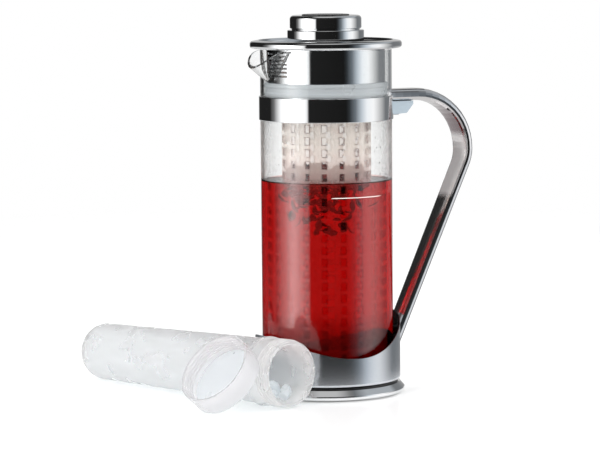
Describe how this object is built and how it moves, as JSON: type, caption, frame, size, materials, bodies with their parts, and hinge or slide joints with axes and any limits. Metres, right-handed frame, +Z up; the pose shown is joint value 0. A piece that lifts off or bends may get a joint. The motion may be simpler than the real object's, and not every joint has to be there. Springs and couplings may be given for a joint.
{
  "type": "pitcher with ice core",
  "caption": "Tall glass pitcher in a steel base cup with a steel handle, lift-off strainer lid and hanging infuser, with a loose screw-capped ice tube.",
  "frame": {"origin": "centre of the underside of the base pad, on the glass's axis", "axes": "+Z up along the glass's axis, +X towards the handle, spout at -X"},
  "size_m": [0.271, 0.2366, 0.2897],
  "materials": {
    "stainless_polished": "mirror polished stainless steel",
    "stainless_satin": "satin brushed stainless steel",
    "borosilicate": "clear blown glass",
    "rubber_black": "matt black rubber",
    "plastic_black": "matt black plastic",
    "silicone_clear": "translucent silicone",
    "plastic_frosted": "frosted translucent plastic",
    "plastic_clear": "clear plastic",
    "plastic_grey": "blue-grey moulded plastic",
    "steel_plain": "plain stainless steel",
    "ice_cloudy": "cloudy frozen water"
  },
  "bodies": {
    "pitcher": {"base_pad": "rubber_black", "foot_ring": "stainless_polished", "groove_ring": "plastic_black", "base_cup": "stainless_satin", "base_screws": "steel_plain", "base_nuts": "steel_plain", "glass_seat": "silicone_clear", "glass_beaker": "borosilicate", "neck_band": "stainless_polished", "handle": "stainless_polished", "handle_bracket": "plastic_grey", "bracket_screw": "steel_plain", "handle_foot_screws": "steel_plain"},
    "seal": {"seal_ring": "silicone_clear"},
    "lid": {"strainer_collar": "stainless_polished", "lid_plate": "stainless_polished", "lid_gasket": "silicone_clear", "lid_socket": "plastic_frosted", "socket_screws": "steel_plain", "knob_step": "stainless_polished", "knob_drum": "stainless_polished", "knob_disc": "plastic_black", "knob_screw": "steel_plain"},
    "infuser": {"infuser_coupling": "plastic_frosted", "infuser_basket": "plastic_frosted"},
    "infuser_end": {"infuser_end_cap": "plastic_frosted"},
    "ice_core": {"ice_tube": "plastic_frosted", "ice_filling": "ice_cloudy"},
    "ice_core_cap": {"tube_cap": "plastic_clear", "cap_liner": "silicone_clear"}
  },
  "joints": [
    {"name": "lid_lift", "type": "slide", "parent": "pitcher", "child": "seal", "axis": [0, 0, 1], "range_m": [0, 0.245]},
    {"name": "lid_turn", "type": "hinge", "parent": "seal", "child": "lid", "pos_m": [0, 0, 0.232], "axis": [0, 0, 1], "continuous": true},
    {"name": "infuser_turn", "type": "hinge", "parent": "lid", "child": "infuser", "pos_m": [0, 0, 0.25], "axis": [0, 0, 1], "continuous": true},
    {"name": "infuser_end_turn", "type": "hinge", "parent": "infuser", "child": "infuser_end", "pos_m": [0, 0, 0.03], "axis": [0, 0, 1], "range_deg": [0, 60]},
    {"name": "ice_tube_lift", "type": "slide", "parent": "pitcher", "child": "ice_core", "axis": [0, 0, 1], "range_m": [0, 0.15]},
    {"name": "cap_lift", "type": "slide", "parent": "ice_core", "child": "ice_core_cap", "axis": [-0.7322, -0.2252, 0.6428], "range_m": [0, 0.08]}
  ]
}
